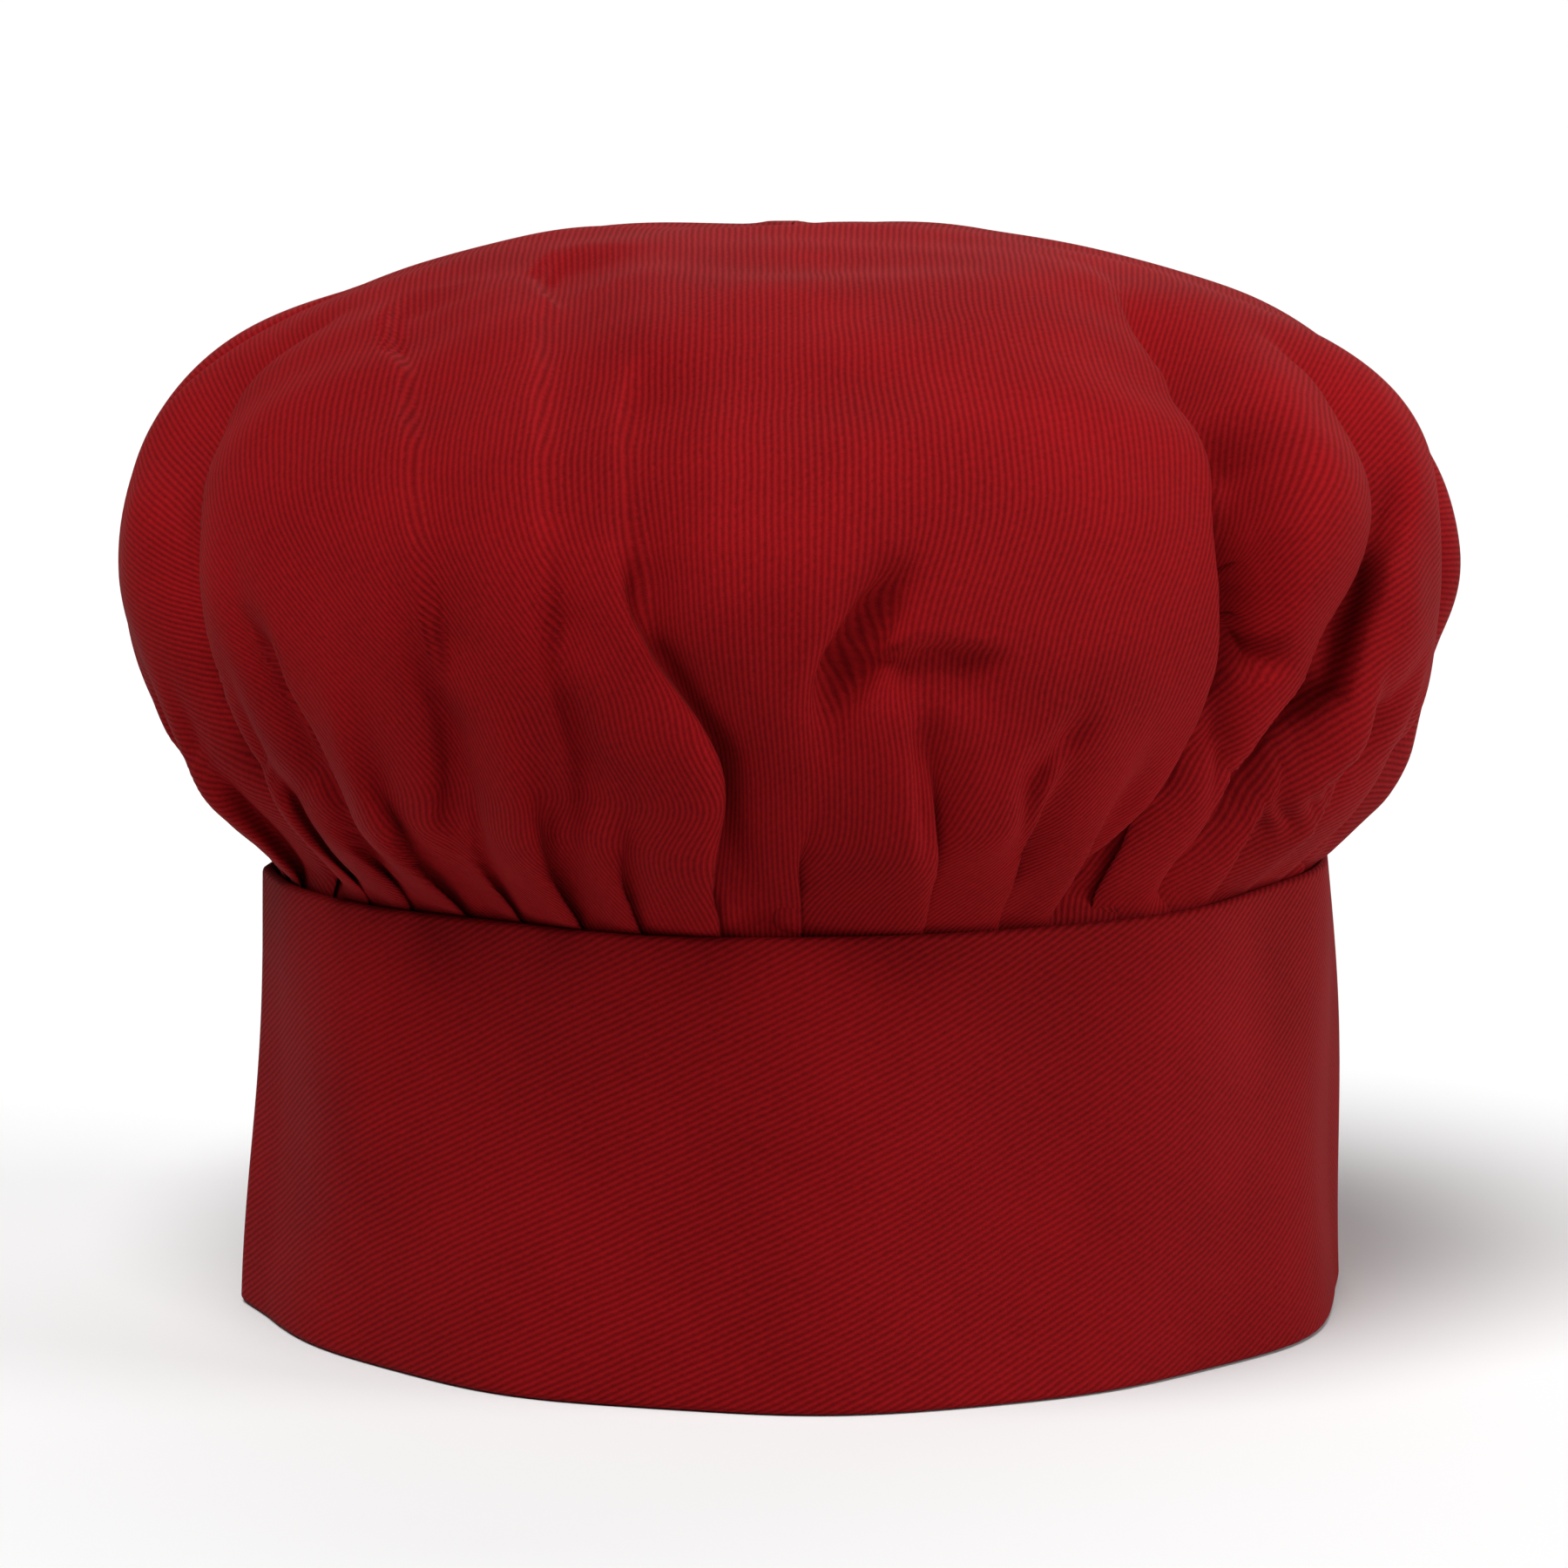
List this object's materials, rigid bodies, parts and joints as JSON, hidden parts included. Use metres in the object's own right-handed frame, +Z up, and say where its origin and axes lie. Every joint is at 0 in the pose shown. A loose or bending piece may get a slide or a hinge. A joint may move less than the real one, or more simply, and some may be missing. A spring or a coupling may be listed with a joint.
{
  "type": "chef toque",
  "caption": "Soft mushroom chef's hat: pleated twill crown on a stiffened band, with a hook-and-loop tab at the back.",
  "frame": {"origin": "middle of the head opening, level with the lower edge of the band, on which the hat stands", "axes": "+Z up through the crown, -Y towards the wearer's brow, +Y towards the closure at the back, +X to the wearer's left"},
  "size_m": [0.233, 0.233, 0.186],
  "materials": {
    "crown_twill": "burgundy twill",
    "band_twill": "burgundy twill over interfacing",
    "interfacing": "stiff bonded non-woven",
    "thread": "spun polyester thread",
    "binding_twill": "burgundy twill binding",
    "fastener": "burgundy hook and loop tape",
    "label": "woven white satin tape"
  },
  "bodies": {
    "hat": {"crown_panel": "crown_twill", "crown_seam_stitches": "thread", "crown_overlock": "thread", "slit_binding": "binding_twill", "slit_stitches": "thread", "slit_bartack": "thread", "band_shell": "band_twill", "band_interfacing": "interfacing", "band_end_stitches": "thread", "care_label": "label", "loop_strip": "fastener", "loop_stitches": "thread", "tab_root": "band_twill", "tab_root_stitches": "thread"},
    "tab": {"closure_tab": "band_twill", "tab_interfacing": "interfacing", "tab_edge_stitches": "thread", "hook_strip": "fastener", "hook_stitches": "thread"}
  },
  "joints": [
    {"name": "tab_peel", "type": "hinge", "parent": "hat", "child": "tab", "pos_m": [0.01059, 0.0984, 0.00318], "axis": [0.0049, 0.0458, -0.9989], "range_deg": [0, 110]}
  ]
}
